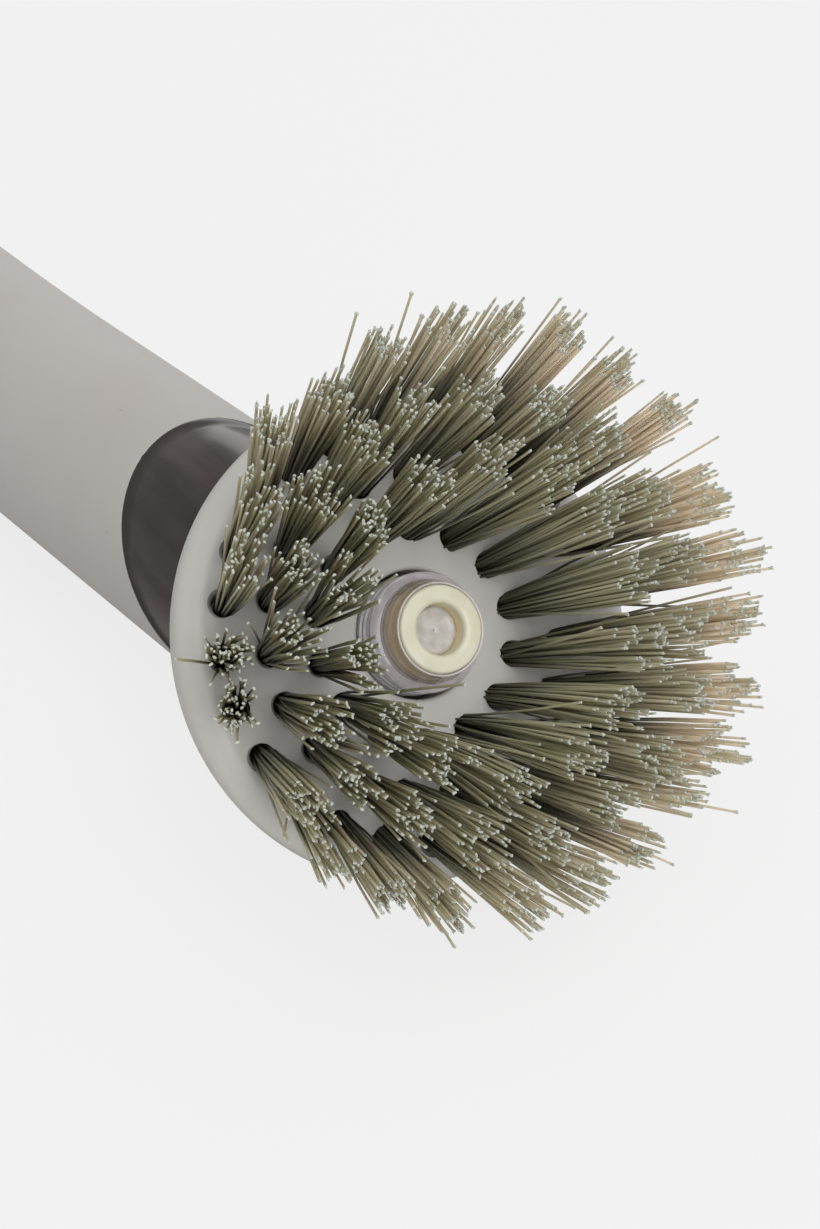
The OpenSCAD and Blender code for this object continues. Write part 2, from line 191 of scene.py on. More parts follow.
class Shader:
    """One material's node tree, with the few helpers that every finish uses."""

    def __init__(self, name: str) -> None:
        """Starts a material with a bare Principled shader.

        Args:
            name: The material's name.
        """
        self.material = bpy.data.materials.new(name)
        self.material.use_nodes = True
        self.tree = self.material.node_tree
        self.principled = self.tree.nodes["Principled BSDF"]
        self.output = self.tree.nodes["Material Output"]

    def node(self, kind: str, settings: dict | None = None, **inputs: object) -> bpy.types.Node:
        """Adds any node.

        Args:
            kind: The node's type.
            settings: Properties that are set before its sockets.
            inputs: Values or wires, by socket name with underscores for spaces.

        Returns:
            The node.
        """
        node = self.tree.nodes.new(kind)
        for key, value in (settings or {}).items():
            setattr(node, key, value)
        for key, value in inputs.items():
            self.feed(node.inputs[key.replace("_", " ")], value)
        return node

    def feed(self, socket: bpy.types.NodeSocket, value: object) -> None:
        """Links a wire to a socket, or sets the socket's own value.

        Args:
            socket: The input socket.
            value: A wire, a colour or a plain value.
        """
        if isinstance(value, Wire):
            self.tree.links.new(value.socket, socket)
        elif isinstance(value, tuple) and len(value) == 3 and socket.type == "RGBA":
            socket.default_value = (*value, 1.0)
        else:
            socket.default_value = value

    def wire(self, node: bpy.types.Node, output: str | int = 0) -> Wire:
        """Wraps one output of a node."""
        return Wire(self.tree, node.outputs[output])

    def place(self) -> Wire:
        """Object coordinates."""
        return self.wire(self.node("ShaderNodeTexCoord"), "Object")

    def along_head(self) -> Wire:
        """Measures how far a point lies along the head's axis from the origin.

        Returns:
            The distance in metres.
        """
        along = self.node("ShaderNodeVectorMath", {"operation": "DOT_PRODUCT"})
        self.feed(along.inputs[0], self.place())
        self.feed(along.inputs[1], WAND.head_axis)
        return self.wire(along, "Value")

    def ahead(self) -> Wire:
        """Distance of a point in front of the bend, along the head's axis, in mm."""
        return (self.along_head() - WAND.bend.dot(WAND.head_axis)) * (1 / MM)

    def noise(self, scale: float, detail: float = 3.0, stretch: Point3 = (1.0, 1.0, 1.0)) -> Wire:
        """Noise on object coordinates.

        Args:
            scale: Noise scale per metre.
            detail: Octaves.
            stretch: Scale of the pattern along each axis.

        Returns:
            The noise, from 0 to 1.
        """
        mapped = self.wire(self.node("ShaderNodeMapping", Vector=self.place(), Scale=stretch))
        return self.wire(self.node("ShaderNodeTexNoise", Vector=mapped, Scale=scale, Detail=detail))

    def attribute(self, name: str) -> Wire:
        """A number stored on the piece's own points."""
        return self.wire(self.node("ShaderNodeAttribute", {"attribute_name": name}), "Fac")

    def mix(self, factor: Wire | float, low: Wire | Colour, high: Wire | Colour) -> Wire:
        """Blends two colours.

        Args:
            factor: 0 gives low and 1 gives high.
            low: First colour.
            high: Second colour.

        Returns:
            The blended colour.
        """
        node = self.node("ShaderNodeMix", {"data_type": "RGBA"})
        self.feed(node.inputs["Factor"], factor)
        self.feed(node.inputs[6], low)
        self.feed(node.inputs[7], high)
        return Wire(self.tree, node.outputs[2])

    def bump(self, height: Wire, distance: float, strength: float = 1.0) -> None:
        """Feeds the Principled shader's normal from a height."""
        node = self.node("ShaderNodeBump", Height=height, Distance=distance, Strength=strength)
        self.feed(self.principled.inputs["Normal"], self.wire(node, "Normal"))

    def set(self, **inputs: object) -> None:
        """Sets sockets of the Principled shader."""
        for key, value in inputs.items():
            self.feed(self.principled.inputs[key.replace("_", " ")], value)

    def blend(self, second: bpy.types.Node, factor: Wire) -> None:
        """Mixes a second shader into the Principled one.

        Args:
            second: The node of the second shader.
            factor: 0 leaves the Principled shader alone and 1 leaves the second alone.
        """
        node = self.node("ShaderNodeMixShader", Fac=factor)
        self.tree.links.new(self.principled.outputs[0], node.inputs[1])
        self.tree.links.new(second.outputs[0], node.inputs[2])
        self.tree.links.new(node.outputs[0], self.output.inputs["Surface"])


def srgb(r: float, g: float, b: float) -> Colour:
    """Turns a colour seen on screen, 0 to 255, into a linear one."""
    return tuple(((c / 255 + 0.055) / 1.055) ** 2.4 if c > 10 else c / 3294 for c in (r, g, b))


class Finish:
    """A finish that makes one material; each kind of finish has its own paint method."""

    name: str

    def paint(self, shader: Shader) -> None:
        """Sets the shader up.

        Args:
            shader: The new material's shader.
        """
        raise NotImplementedError

    def make(self) -> bpy.types.Material:
        """Builds the material.

        Returns:
            The material.
        """
        shader = Shader(self.name)
        self.paint(shader)
        return shader.material


@dataclass(frozen=True)
class SoftTouch(Finish):
    """Warm light grey soft-touch coating with a faint bloom, fine pores and a few specks of dust."""

    name: str = "soft_touch_grey"
    base: Colour = srgb(172, 168, 164)
    warm: Colour = srgb(168, 160, 155)
    speck: Colour = srgb(140, 120, 114)
    roughness: float = 0.62

    def paint(self, shader: Shader) -> None:
        """Sets the shader up.

        Args:
            shader: The new material's shader.
        """
        cloud = shader.noise(38.0, 3.0).step(0.35, 0.7)
        colour = shader.mix(cloud * 0.55, self.base, self.warm)
        specks = shader.noise(520.0, 2.0).step(0.735, 0.78)
        colour = shader.mix(specks * 0.35, colour, self.speck)
        shader.set(Base_Color=colour, Roughness=self.roughness + 0.08 * (cloud - 0.5))
        shader.set(Sheen_Weight=0.12, Sheen_Roughness=0.5)
        pores = shader.noise(5200.0, 2.0)
        shader.bump(pores, 0.00002, 0.35)


@dataclass(frozen=True)
class SmokedPlastic(Finish):
    """Smoky brown-grey plastic with clouded depth, smears and dust, and painted shade in a band beside the grip.
    """

    name: str = "smoked_plastic"
    deep: Colour = srgb(36, 30, 24)
    lit: Colour = srgb(80, 70, 67)
    # Colour of the painted shade in the band beside the grip.
    edge: Colour = srgb(34, 25, 22)
    dust: Colour = srgb(140, 130, 125)
    roughness: float = 0.2
    painted_shade_from: float = -30.0
    painted_shade_to: float = -22.2
    painted_shade_fade: float = 1.2
    coat: float = 0.12

    def paint(self, shader: Shader) -> None:
        """Sets the shader up.

        Args:
            shader: The new material's shader.
        """
        depth = shader.noise(60.0, 4.0, (0.4, 1.6, 1.0)).step(0.35, 0.7)
        colour = shader.mix(depth, self.deep, self.lit)
        dust = shader.noise(900.0, 2.0).step(0.76, 0.8)
        colour = shader.mix(dust * 0.3, colour, self.dust)
        ahead = shader.ahead()
        # Painted shade: darkens the band from inside the grip to just past the neck's bevel.
        edge = ahead.step(self.painted_shade_from, self.painted_shade_from + 0.5)
        edge = edge * (1.0 - ahead.step(self.painted_shade_to - self.painted_shade_fade, self.painted_shade_to))
        colour = shader.mix(edge * 0.85, colour, self.edge)
        smear = shader.noise(160.0, 3.0, (1.0, 0.4, 1.0))
        shader.set(Base_Color=colour, Roughness=self.roughness + 0.12 * smear.step(0.45, 0.8))
        shader.set(Coat_Weight=self.coat, Coat_Roughness=self.coat, IOR=1.5)
        shader.bump(shader.noise(120.0, 2.0), 0.0001, 0.12)


@dataclass(frozen=True)
class SatinPlastic(Finish):
    """Moulded satin plastic with slight cloudiness and a fine spark-eroded grain."""

    name: str
    base: Colour
    shade: Colour
    roughness: float = 0.42
    grain: float = 3800.0

    def paint(self, shader: Shader) -> None:
        """Sets the shader up.

        Args:
            shader: The new material's shader.
        """
        cloud = shader.noise(60.0, 3.0).step(0.3, 0.75)
        colour = shader.mix(cloud, self.base, self.shade)
        shader.set(Base_Color=colour, Roughness=self.roughness + 0.1 * (shader.noise(240.0, 2.0) - 0.5))
        shader.bump(shader.noise(self.grain, 2.0), 0.00002, 0.25)


@dataclass(frozen=True)
class ClearPlastic(Finish):
    """Clear moulded plastic with painted lilac and smoky refraction streaks, painted highlight hoops and a painted
    amber glow near the tip.
    """

    name: str = "clear_plastic"
    tint: Colour = srgb(246, 236, 241)
    painted_streak_colour: Colour = srgb(186, 172, 180)
    painted_highlight: Colour = srgb(250, 246, 250)
    # Colour of the painted glow of the cream ring, seen through the wall near the tip.
    painted_amber_glow: Colour = srgb(252, 228, 178)
    glow_from: float = 20.4
    rim_from: float = 23.0
    hoops_per_metre: float = 1900.0
    roughness: float = 0.06

    def paint(self, shader: Shader) -> None:
        """Sets the shader up.

        Args:
            shader: The new material's shader.
        """
        flow = shader.noise(420.0, 3.0, (0.5, 1.0, 0.5))
        # Painted refraction streaks that follow the plastic's flow; they also make it a little less clear.
        painted_streaks = flow.step(0.5, 0.64)
        # Painted highlight: pale hoops round the barrel, banded along the head's axis; they also raise the alpha.
        across = shader.along_head() * self.hoops_per_metre + flow * 1.2
        one = {"noise_dimensions": "1D"}
        hoops = shader.node("ShaderNodeTexNoise", one, W=across, Scale=1.0, Detail=2.0)
        highlight_hoop = shader.wire(hoops).step(0.42, 0.62)
        colour = shader.mix(painted_streaks * 0.6, self.tint, self.painted_streak_colour)
        colour = shader.mix(highlight_hoop * 0.75, colour, self.painted_highlight)
        # Painted amber glow near the tip, fading at the rim; the wall there is also made a little clearer.
        ahead = shader.ahead()
        wall = ahead.step(self.glow_from, self.glow_from + 0.6)
        rim = ahead.step(self.rim_from, self.rim_from + 0.4)
        colour = shader.mix(wall * (0.8 - 0.3 * painted_streaks) * (1.0 - 0.8 * rim), colour, self.painted_amber_glow)
        shader.set(Base_Color=colour, Alpha=(0.42 + 0.1 * painted_streaks + 0.28 * highlight_hoop) * (1.0 - 0.3 * wall))
        shader.set(Roughness=self.roughness, IOR=1.49, Coat_Weight=0.8, Coat_Roughness=0.03)
        shader.bump(flow, 0.00006, 0.3)


@dataclass(frozen=True)
class CreamPlastic(Finish):
    """Cream moulded plastic, honey-coloured where the light comes through its side walls."""

    name: str = "cream_plastic"
    face: Colour = srgb(216, 213, 193)
    shade: Colour = srgb(208, 204, 182)
    honey: Colour = srgb(244, 222, 168)
    face_t: float = 23.8

    def paint(self, shader: Shader) -> None:
        """Sets the shader up.

        Args:
            shader: The new material's shader.
        """
        depth = self.face_t - shader.ahead()
        cloud = shader.noise(420.0, 3.0).step(0.35, 0.75)
        colour = shader.mix(cloud, self.face, self.shade)
        colour = shader.mix(depth.step(0.3, 2.0) * 0.8, colour, self.honey)
        shader.set(Base_Color=colour, Roughness=0.32 + 0.08 * cloud)
        shader.set(Subsurface_Weight=0.3, Subsurface_Radius=(0.004, 0.003, 0.002), Subsurface_Scale=0.5)
        shader.bump(shader.noise(4200.0, 2.0), 0.00002, 0.25)


@dataclass(frozen=True)
class Silicone(Finish):
    """Cloudy white silicone that lets some light in."""

    name: str = "valve_silicone"
    base: Colour = srgb(205, 201, 196)
    shade: Colour = srgb(186, 183, 178)

    def paint(self, shader: Shader) -> None:
        """Sets the shader up.

        Args:
            shader: The new material's shader.
        """
        cloud = shader.noise(900.0, 3.0).step(0.35, 0.7)
        shader.set(Base_Color=shader.mix(cloud, self.base, self.shade), Roughness=0.34)
        shader.set(Subsurface_Weight=0.6, Subsurface_Radius=(0.002, 0.002, 0.0018), Transmission_Weight=0.15)
        shader.bump(shader.noise(1800.0, 3.0), 0.00004, 0.4)


@dataclass(frozen=True)
class BristleNylon(Finish):
    """Grey-green nylon strands: painted shade towards the roots, tan where light comes through, pale at the cut
    tips.
    """

    name: str = "bristle_nylon"
    # Colour of the painted shade deep in the tufts.
    root: Colour = srgb(58, 50, 26)
    body: Colour = srgb(200, 197, 165)
    tan: Colour = srgb(252, 242, 225)
    tip: Colour = srgb(210, 213, 203)

    def paint(self, shader: Shader) -> None:
        """Sets the shader up.

        Args:
            shader: The new material's shader.
        """
        along = shader.attribute("along")
        tone = shader.attribute("tone")
        body = shader.mix(tone * along.step(0.3, 0.8), self.body, self.tan)
        # Painted shade: each strand darkens towards its root, where the tufts shade themselves.
        colour = shader.mix(along.step(0.12, 0.82), self.root, body)
        colour = shader.mix(along.step(0.982, 0.99), colour, self.tip)
        shader.set(Base_Color=colour, Roughness=0.42 + 0.1 * along, IOR=1.53)
        glow = shader.node("ShaderNodeBsdfTranslucent", Color=colour)
        shader.blend(glow, 0.15 + 0.3 * along.step(0.2, 0.8))


@dataclass(frozen=True)
class PlainMetal(Finish):
    """Drawn or polished steel with a fine grain."""

    name: str
    base: Colour
    roughness: float

    def paint(self, shader: Shader) -> None:
        """Sets the shader up.

        Args:
            shader: The new material's shader.
        """
        grain = shader.noise(1500.0, 2.0)
        shader.set(Base_Color=self.base, Metallic=1.0, Roughness=self.roughness + 0.12 * grain)


@dataclass(frozen=True)
class BlackRubber(Finish):
    """Matt black rubber with a dusty bloom."""

    name: str = "black_rubber"
    base: Colour = srgb(30, 30, 31)
    bloom: Colour = srgb(48, 47, 47)

    def paint(self, shader: Shader) -> None:
        """Sets the shader up.

        Args:
            shader: The new material's shader.
        """
        bloom = shader.noise(400.0, 3.0).step(0.4, 0.8)
        shader.set(Base_Color=shader.mix(bloom, self.base, self.bloom), Roughness=0.7)
        shader.bump(shader.noise(3000.0, 2.0), 0.00003, 0.4)


class Finishes:
    """Every finish on the wand, made once and kept under the record's material slots."""

    def __init__(self) -> None:
        """Makes the materials."""
        grip = SoftTouch().make()
        head = SatinPlastic("head_plastic", srgb(190, 188, 183), srgb(184, 182, 176), 0.4)
        cap = SatinPlastic("cap_plastic", srgb(181, 177, 172), srgb(174, 170, 165), 0.45)
        natural = SatinPlastic("natural_plastic", srgb(222, 221, 216), srgb(212, 211, 205), 0.4)
        self.slots = {
            "soft_grip": grip,
            "button_grey": grip,
            "smoke": SmokedPlastic().make(),
            "head_plastic": head.make(),
            "cap_grey": cap.make(),
            "natural_plastic": natural.make(),
            "cream": CreamPlastic().make(),
            "clear": ClearPlastic().make(),
            "silicone": Silicone().make(),
            "bristle": BristleNylon().make(),
            "spring_steel": PlainMetal("spring_wire", srgb(190, 190, 192), 0.25).make(),
            "ball_steel": PlainMetal("ball_steel", srgb(200, 200, 202), 0.12).make(),
            "black_rubber": BlackRubber().make(),
        }

    def give(self, piece: bpy.types.Object, slot: str) -> None:
        """Gives a piece the finish of a slot, in place of what it has.

        Args:
            piece: The piece.
            slot: The record's slot.
        """
        piece.data.materials.clear()
        piece.data.materials.append(self.slots[slot])


def deselect() -> None:
    """Goes to object mode with nothing selected."""
    if bpy.context.object and bpy.context.object.mode != "OBJECT":
        bpy.ops.object.mode_set(mode="OBJECT")
    bpy.ops.object.select_all(action="DESELECT")


def pick(piece: bpy.types.Object) -> None:
    """Makes one object the only selected and the active one.

    Args:
        piece: The object.
    """
    deselect()
    piece.select_set(True)
    bpy.context.view_layer.objects.active = piece


def arc(centre: Point2, radii: Point2, start: float, end: float, steps: int) -> list[Point2]:
    """Points on an elliptical arc of a profile.

    Args:
        centre: Radius and height of the arc's centre, in mm.
        radii: Its half axes, in mm.
        start: First angle in degrees, 0 pointing outwards and 90 up.
        end: Last angle.
        steps: Number of pieces between them.

    Returns:
        The points, ends included.
    """
    angles = [math.radians(start + (end - start) * i / steps) for i in range(steps + 1)]
    return [(centre[0] + radii[0] * math.cos(a), centre[1] + radii[1] * math.sin(a)) for a in angles]


class Turner:
    """Models round pieces: a circle that is extruded and resized from one station to the next."""

    def __init__(self, name: str, segments: int = 128) -> None:
        """Readies a turner for one piece.

        Args:
            name: The piece's name.
            segments: How many sides its circle has.
        """
        self.name = name
        self.segments = segments
        self.centre = Vector((0.0, 0.0, 0.0))
        self.radii = (1.0, 1.0)

    def start(self, rx: float, ry: float, centre: Vector) -> None:
        """Adds the first loop.

        Args:
            rx: Half axis along X, in mm.
            ry: Half axis along Y, in mm.
            centre: Its middle, in mm.
        """
        deselect()
        bpy.ops.mesh.primitive_circle_add(vertices=self.segments, radius=rx * MM, location=(0, 0, 0))
        bpy.context.object.name = self.name
        bpy.ops.object.mode_set(mode="EDIT")
        bpy.ops.mesh.select_all(action="SELECT")
        bpy.ops.transform.resize(value=(1.0, ry / rx, 1.0), center_override=(0, 0, 0))
        bpy.ops.transform.translate(value=centre * MM)
        self.centre, self.radii = centre.copy(), (rx, ry)

    def go(self, rx: float, ry: float, centre: Vector) -> None:
        """Extrudes the last loop to a new place and size.

        Args:
            rx: Half axis along X, in mm.
            ry: Half axis along Y, in mm.
            centre: Its middle, in mm.
        """
        move = (centre - self.centre) * MM
        bpy.ops.mesh.extrude_region_move(TRANSFORM_OT_translate={"value": move})
        size = (rx / self.radii[0], ry / self.radii[1], 1.0)
        bpy.ops.transform.resize(value=size, center_override=centre * MM)
        self.centre, self.radii = centre.copy(), (rx, ry)

    def circle(self, radius: float, height: float) -> None:
        """Extrudes the last loop to a circle about the Z axis, its radius and height in mm."""
        self.go(radius, radius, Vector((0, 0, height)))

    def finish(self, bridge: bool, place: Matrix, sharp: float = 32.0) -> bpy.types.Object:
        """Closes the piece and puts it in the row frame.

        Args:
            bridge: True joins the last loop to the first.
            place: Matrix from the local frame to the row frame.
            sharp: Angle in degrees above which an edge stays crisp.

        Returns:
            The finished object.
        """
        if bridge:
            bpy.ops.mesh.select_all(action="DESELECT")
            bpy.ops.mesh.select_mode(type="EDGE")
            bpy.ops.mesh.select_non_manifold(extend=False)
            bpy.ops.mesh.bridge_edge_loops()
        piece = bpy.context.object
        clean(piece)
        settle(piece, place, sharp)
        return piece


def clean(piece: bpy.types.Object) -> None:
    """Merges doubles, turns every face outwards and goes back to object mode.

    Args:
        piece: The piece.
    """
    if piece.mode != "EDIT":
        pick(piece)
        bpy.ops.object.mode_set(mode="EDIT")
    bpy.ops.mesh.select_all(action="SELECT")
    bpy.ops.mesh.remove_doubles(threshold=0.004 * MM)
    bpy.ops.mesh.normals_make_consistent(inside=False)
    bpy.ops.object.mode_set(mode="OBJECT")


def smooth(angle: float) -> None:
    """Smooths the active piece's shading, with crisp edges above an angle in degrees."""
    bpy.ops.object.shade_smooth_by_angle(angle=math.radians(angle))


def settle(piece: bpy.types.Object, place: Matrix, sharp: float = 32.0) -> None:
    """Puts a piece's place in its mesh, its object at the origin, and smooths its shading.

    Args:
        piece: The piece.
        place: Matrix from the piece's frame to the row frame.
        sharp: Angle in degrees above which an edge stays crisp.
    """
    piece.data.transform(place @ piece.matrix_world)
    piece.matrix_world = Matrix.Identity(4)
    pick(piece)
    smooth(sharp)


def turn(name: str, profile: Sequence[Point2], place: Matrix, closed: bool = True,
         segments: int = 128, sharp: float = 32.0) -> bpy.types.Object:
    """Models a round piece from its profile.

    Args:
        name: The piece's name.
        profile: Radius and height of each station, in mm.
        place: Matrix from the local frame to the row frame.
        closed: True for a ring, whose last station joins its first.
        segments: Sides of the circle.
        sharp: Angle above which an edge stays crisp.

    Returns:
        The piece.
    """
    smallest = 0.002
    turner = Turner(name, segments)
    stations = [(max(r, smallest), z) for r, z in profile]
    turner.start(stations[0][0], stations[0][0], Vector((0, 0, stations[0][1])))
    for r, z in stations[1:]:
        turner.circle(r, z)
    return turner.finish(closed, place, sharp)


def carve(piece: bpy.types.Object, tool: bpy.types.Object, operation: str = "DIFFERENCE") -> None:
    """Cuts a piece with a tool, which is then deleted.

    Args:
        piece: The piece that stays.
        tool: The cutter.
        operation: The Boolean modifier's operation.
    """
    modifier = piece.modifiers.new("carve", "BOOLEAN")
    modifier.operation = operation
    modifier.solver = "EXACT"
    modifier.object = tool
    pick(piece)
    bpy.ops.object.modifier_apply(modifier=modifier.name)
    bpy.data.objects.remove(tool)


def soften(piece: bpy.types.Object, width: float, angle: float = 35.0, segments: int = 3) -> None:
    """Rounds a piece's crisp edges.

    Args:
        piece: The piece.
        width: Width of the rounding in mm.
        angle: Edges sharper than this many degrees are rounded.
        segments: Faces across the rounding.
    """
    modifier = piece.modifiers.new("soften", "BEVEL")
    modifier.width = width * MM
    modifier.segments = segments
    modifier.limit_method = "ANGLE"
    modifier.angle_limit = math.radians(angle)
    modifier.use_clamp_overlap = True
    pick(piece)
    bpy.ops.object.modifier_apply(modifier=modifier.name)
    smooth(angle)


def stadium(name: str, length: float, width: float, low: float, high: float,
            place: Matrix) -> bpy.types.Object:
    """Models a block with two round ends: a cylinder whose halves are pulled apart.

    Args:
        name: The piece's name.
        length: Length along X in mm.
        width: Width along Y in mm.
        low: Bottom height in mm.
        high: Top height in mm.
        place: Matrix from the local frame to the row frame.

    Returns:
        The block.
    """
    deselect()
    depth = (high - low) * MM
    bpy.ops.mesh.primitive_cylinder_add(vertices=96, radius=width / 2 * MM, depth=depth, location=(0, 0, 0))
    piece = bpy.context.object
    piece.name = name
    bpy.ops.object.mode_set(mode="EDIT")
    bpy.ops.transform.translate(value=(0, 0, (high + low) / 2 * MM))
    mesh = bmesh.from_edit_mesh(piece.data)
    for vertex in mesh.verts:
        side = 1.0 if vertex.co.x > 0 else -1.0
        if abs(vertex.co.x) > 1e-6:
            vertex.co.x += side * (length - width) / 2 * MM
    bmesh.update_edit_mesh(piece.data)
    clean(piece)
    settle(piece, place)
    return piece


def tail_radius() -> float:
    """Radius of the grip and the cap at the tail, in mm, from the tail collar's box."""
    low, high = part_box("tail_collar")
    return (high[1] - low[1]) / 2 / MM


def ease(x: float) -> float:
    """Rises smoothly from 0 at 0 to 1 at 1, and stays there."""
    x = min(max(x, 0.0), 1.0)
    return x * x * (3 - 2 * x)


@dataclass
class SubAssembly:
    """Pieces that are built together and dressed from the wand's finishes."""

    finishes: Finishes

    def dress(self, piece: bpy.types.Object, body: Body, slot: str, *nodes: str) -> None:
        """Gives a piece its finish, its body and the CAD nodes that it stands for.

        Args:
            piece: The piece, in place.
            body: The body that it rides on.
            slot: The record's slot that it takes its finish from.
            nodes: The CAD nodes that it replaces.
        """
        self.finishes.give(piece, slot)
        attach(piece, body.value)
        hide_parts(*nodes)
        LOG.info("%s: %d faces on %s", piece.name, len(piece.data.polygons), body.value)


@dataclass
class Grip(SubAssembly):
    """The soft-touch sleeve, whose slanted front edge is rounded over."""

    radius: float = 16.4
    front: float = 28.6
    swell_start: float = 84.0
    swell_end: float = 166.0
    end: float = 172.0
    bore: float = 14.45
    edge_length: float = 5.0
    edge_drop: float = 0.15
    tail_round: float = 0.8
    end_wall: float = 1.0

    def radius_at(self, s: float) -> float:
        """Radius of the grip at a distance s behind the bend."""
        swell = ease((s - self.swell_start) / (self.swell_end - self.swell_start))
        return self.radius + (tail_radius() - self.radius) * swell

    def _cut_front(self) -> None:
        """Cuts the open tube along the slant, set back by the length of the rounding."""
        tilt = WAND.tilt()
        normal = Vector((-math.sin(tilt), 0.0, math.cos(tilt)))
        bpy.ops.object.mode_set(mode="EDIT")
        bpy.ops.mesh.select_all(action="SELECT")
        height = (self.front + self.edge_length) * MM
        bpy.ops.mesh.bisect(plane_co=(0, 0, height), plane_no=normal, clear_inner=True, clear_outer=False)

    def _round_front(self, piece: bpy.types.Object) -> None:
        """Extrudes the cut edge forward and inward in small steps, then back through the bore.

        Args:
            piece: The open, cut tube.
        """
        steps = 8
        back = self.end - self.end_wall
        limit = (self.front + self.edge_length + self.radius) * MM
        pick(piece)
        bpy.ops.object.mode_set(mode="EDIT")
        bpy.ops.mesh.select_mode(type="EDGE")
        bpy.ops.mesh.select_all(action="DESELECT")
        mesh = bmesh.from_edit_mesh(piece.data)
        for edge in mesh.edges:
            if edge.is_boundary and all(v.co.z < limit for v in edge.verts):
                edge.select = True
        bmesh.update_edit_mesh(piece.data)
        height, ratio = self.front + self.edge_length, 1.0
        for i in range(1, steps + 1):
            a = math.pi / 2 * i / steps
            new_height = self.front + self.edge_length * (1 - math.sin(a))
            new_ratio = 1 - self.edge_drop / self.radius * (1 - math.cos(a))
            self._push(new_height - height, new_ratio / ratio, new_height)
            height, ratio = new_height, new_ratio
        self._push(0.0, self.bore / self.radius / ratio, height)
        self._push(back - height, 1.0, back)
        bpy.ops.transform.resize(value=(1, 1, 0), center_override=(0, 0, back * MM))
        bpy.ops.mesh.select_all(action="DESELECT")
        bpy.ops.mesh.select_non_manifold(extend=False)
        bpy.ops.mesh.bridge_edge_loops()

    @staticmethod
    def _push(move: float, ratio: float, height: float) -> None:
        """Extrudes the selected loop along the handle and resizes it about the axis at a height."""
        bpy.ops.mesh.extrude_region_move(TRANSFORM_OT_translate={"value": (0, 0, move * MM)})
        bpy.ops.transform.resize(value=(ratio, ratio, ratio), center_override=(0, 0, height * MM))

    def build(self) -> None:
        """Models the sleeve and opens it for the thumb button."""
        turner = Turner("soft_grip_sleeve", 160)
        stations = [4.0 + 8.0 * i for i in range(7)] + [66.0, 80.0]
        stations += [self.swell_start + 6.0 * i for i in range(14)]
        turner.start(self.radius, self.radius, Vector((0, 0, stations[0])))
        for s in stations[1:]:
            turner.circle(self.radius_at(s), s)
        rounded = self.tail_round
        for r, s in arc((tail_radius() - rounded, self.end - rounded), (rounded, rounded), 0, 90, 5):
            turner.circle(r, s)
        piece = bpy.context.object
        self._cut_front()
        self._round_front(piece)
        clean(piece)
        settle(piece, WAND.along_handle(), 40.0)
        button = ThumbButton(self.finishes)
        carve(piece, button.opening(button.bezel + button.gap))
        smooth(40)
        self.dress(piece, Body.WAND, "soft_grip", "grip_sleeve")


@dataclass
class ThumbButton(SubAssembly):
    """The thumb button and the smoky bezel round it, on the grip's back."""

    middle: float = 66.0
    length: float = 24.0
    width: float = 13.0
    flange_height: float = -13.0
    seat_height: float = -11.65
    block_bottom: float = -20.0
    cut_bottom: float = -25.0
    cut_top: float = -5.0
    bezel: float = 5.0
    recess: float = 2.2
    flange: float = 1.8
    gap: float = 0.1
    grooves: int = 5
    groove_step: float = 2.6
    groove_depth: float = -16.75

    def place(self) -> Matrix:
        """Matrix from the button's frame, Z up, to the row frame."""
        return Matrix.Translation(WAND.bend + Vector((-self.middle * MM, 0, 0)))

    def block(self, name: str, wider: float, low: float, high: float) -> bpy.types.Object:
        """A stadium block that is wider than the button all round by half of wider."""
        return stadium(name, self.length + wider, self.width + wider, low, high, self.place())

    def opening(self, wider: float) -> bpy.types.Object:
        """A block that cuts through the grip's wall, wider than the button all round by half of wider."""
        return self.block("opening", wider, self.cut_bottom, self.cut_top)

    def skin(self, radius: float) -> bpy.types.Object:
        """A cylinder on the handle's axis that trims the button's outer faces."""
        return turn("skin", [(0, 40), (radius, 40), (radius, 92), (0, 92)], WAND.along_handle(), False, 192)

    def build(self) -> None:
        """Models the bezel and the button."""
        height = self.flange_height
        bezel = self.block("button_bezel_ring", self.bezel, self.block_bottom, self.seat_height)
        carve(bezel, self.opening(2 * self.gap))
        carve(bezel, self.block("recess", self.recess, height - 0.05, self.cut_top))
        carve(bezel, self.skin(Grip.radius), "INTERSECT")
        soften(bezel, 0.3)
        self.dress(bezel, Body.WAND, "smoke", "button_bezel")
        button = self.block("thumb_button_pad", 0.0, self.block_bottom, height)
        carve(button, self.skin(Grip.radius - 0.15), "INTERSECT")
        soften(button, 0.7)
        for index in range(self.grooves):
            self._groove(button, (index - self.grooves // 2) * self.groove_step)
        carve(button, self.block("flange", self.flange, height, height + 1.0), "UNION")
        profile = [(0, height + 0.9), (3, height + 0.9), (3, height + 2.0), (0, height + 2.0)]
        carve(button, turn("stem", profile, self.place(), False, 48), "UNION")
        self.dress(button, Body.BUTTON, "button_grey", "thumb_button")

    def _groove(self, button: bpy.types.Object, along: float) -> None:
        """Cuts one shallow thumb groove across the button.

        Args:
            button: The button.
            along: How far the groove lies from the button's middle, in mm.
        """
        place = self.place() @ Matrix.Translation((along * MM, 0, self.groove_depth * MM))
        place = place @ Matrix.Rotation(math.pi / 2, 4, "X")
        tool = turn("groove", [(0, -4.2), (0.75, -3.6), (0.75, 3.6), (0, 4.2)], place, False, 24)
        carve(button, tool)


